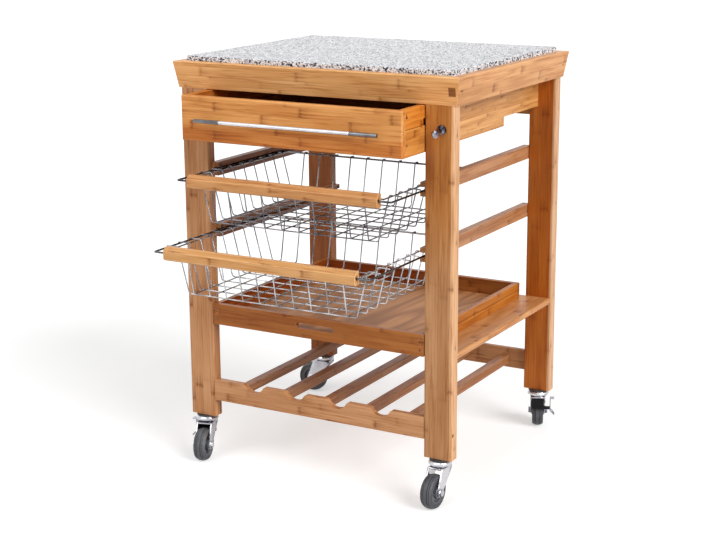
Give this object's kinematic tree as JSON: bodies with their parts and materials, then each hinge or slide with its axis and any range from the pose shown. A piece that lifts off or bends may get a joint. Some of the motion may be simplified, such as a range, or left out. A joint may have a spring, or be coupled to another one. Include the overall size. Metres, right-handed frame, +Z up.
{
  "type": "cheese trolley",
  "caption": "Bamboo serving trolley on casters with an inset granite top, a drawer, pull-out wire baskets, a lift-out tray and a bottle rack",
  "frame": {"origin": "on the floor, under the middle of the four legs", "axes": "+X to the trolley's right-hand side, +Y to its back, +Z up; the drawer and baskets pull out towards -Y"},
  "size_m": [0.6783, 0.7887, 0.874],
  "materials": {
    "bamboo": "satin",
    "veneer": "matte",
    "granite": "polished opaque stone",
    "basket_wire": "bright",
    "polished_steel": "bright",
    "screw_steel": "dark",
    "zinc_fork": "zinc plated",
    "dark_plate": "matte",
    "hub_plastic": "matte",
    "grey_rubber": "matte",
    "brake_plastic": "matte"
  },
  "bodies": {
    "frame": {"leg_front_left": "bamboo", "leg_front_right": "bamboo", "leg_back_left": "bamboo", "leg_back_right": "bamboo", "crown_front": "bamboo", "crown_back": "bamboo", "crown_left": "bamboo", "crown_right": "bamboo", "granite_top": "granite", "apron_left": "bamboo", "apron_right": "bamboo", "apron_back": "bamboo", "drawer_runners": "bamboo", "rail_upper_left": "bamboo", "rail_upper_right": "bamboo", "rail_lower_left": "bamboo", "rail_lower_right": "bamboo", "shelf": "bamboo", "rack_front_rail": "bamboo", "rack_back_rail": "bamboo", "rack_slats": "bamboo", "hook": "polished_steel", "frame_screws": "screw_steel", "caster_mounts": "dark_plate"},
    "drawer": {"drawer_front": "bamboo", "drawer_side_left": "bamboo", "drawer_side_right": "bamboo", "drawer_back": "bamboo", "drawer_bottom": "bamboo", "drawer_handle": "polished_steel"},
    "upper_basket": {"upper_basket_slide_frame": "basket_wire", "upper_basket_side_walls": "basket_wire", "upper_basket_end_walls": "basket_wire", "upper_basket_floor": "basket_wire", "upper_basket_handle": "bamboo"},
    "lower_basket": {"lower_basket_slide_frame": "basket_wire", "lower_basket_side_walls": "basket_wire", "lower_basket_end_walls": "basket_wire", "lower_basket_floor": "basket_wire", "lower_basket_handle": "bamboo"},
    "tray": {"tray_front": "bamboo", "tray_back": "bamboo", "tray_side_left": "bamboo", "tray_side_right": "bamboo", "tray_bottom": "veneer"},
    "swivel_front_left": {"fork_front_left": "zinc_fork"},
    "roller_front_left": {"wheel_front_left": "hub_plastic", "tyre_front_left": "grey_rubber"},
    "lever_front_left": {"brake_front_left": "brake_plastic"},
    "swivel_front_right": {"fork_front_right": "zinc_fork"},
    "roller_front_right": {"wheel_front_right": "hub_plastic", "tyre_front_right": "grey_rubber"},
    "swivel_back_right": {"fork_back_right": "zinc_fork"},
    "roller_back_right": {"wheel_back_right": "hub_plastic", "tyre_back_right": "grey_rubber"},
    "lever_back_right": {"brake_back_right": "brake_plastic"},
    "swivel_back_left": {"fork_back_left": "zinc_fork"},
    "roller_back_left": {"wheel_back_left": "hub_plastic", "tyre_back_left": "grey_rubber"}
  },
  "joints": [
    {"name": "drawer_slide", "type": "slide", "parent": "frame", "child": "drawer", "axis": [0, -1, 0], "range_m": [-0.09, 0.2]},
    {"name": "upper_basket_slide", "type": "slide", "parent": "frame", "child": "upper_basket", "axis": [0, -1, 0], "range_m": [-0.128, 0.19]},
    {"name": "lower_basket_slide", "type": "slide", "parent": "frame", "child": "lower_basket", "axis": [0, -1, 0], "range_m": [-0.213, 0.13]},
    {"name": "tray_slide", "type": "slide", "parent": "frame", "child": "tray", "axis": [0, -1, 0], "range_m": [0, 0.25]},
    {"name": "front_left_swivel", "type": "hinge", "parent": "frame", "child": "swivel_front_left", "pos_m": [-0.284, -0.25, 0.088], "axis": [0, 0, 1], "continuous": true},
    {"name": "front_left_wheel", "type": "hinge", "parent": "swivel_front_left", "child": "roller_front_left", "pos_m": [-0.27624, -0.27898, 0.0355], "axis": [0.9659, 0.2588, 0], "continuous": true},
    {"name": "front_left_brake", "type": "hinge", "parent": "swivel_front_left", "child": "lever_front_left", "pos_m": [-0.28685, -0.23937, 0.073], "axis": [-0.9659, -0.2588, 0], "range_deg": [-7, 0]},
    {"name": "front_right_swivel", "type": "hinge", "parent": "frame", "child": "swivel_front_right", "pos_m": [0.284, -0.25, 0.088], "axis": [0, 0, 1], "continuous": true},
    {"name": "front_right_wheel", "type": "hinge", "parent": "swivel_front_right", "child": "roller_front_right", "pos_m": [0.28295, -0.27998, 0.0355], "axis": [0.9994, -0.0349, 0], "continuous": true},
    {"name": "back_right_swivel", "type": "hinge", "parent": "frame", "child": "swivel_back_right", "pos_m": [0.284, 0.25, 0.088], "axis": [0, 0, 1], "continuous": true},
    {"name": "back_right_wheel", "type": "hinge", "parent": "swivel_back_right", "child": "roller_back_right", "pos_m": [0.27276, 0.27782, 0.0355], "axis": [-0.9272, -0.3746, 0], "continuous": true},
    {"name": "back_right_brake", "type": "hinge", "parent": "swivel_back_right", "child": "lever_back_right", "pos_m": [0.28812, 0.2398, 0.073], "axis": [0.9272, 0.3746, 0], "range_deg": [-7, 0]},
    {"name": "back_left_swivel", "type": "hinge", "parent": "frame", "child": "swivel_back_left", "pos_m": [-0.284, 0.25, 0.088], "axis": [0, 0, 1], "continuous": true},
    {"name": "back_left_wheel", "type": "hinge", "parent": "swivel_back_left", "child": "roller_back_left", "pos_m": [-0.31389, 0.24739, 0.0355], "axis": [0.0872, -0.9962, 0], "continuous": true}
  ]
}
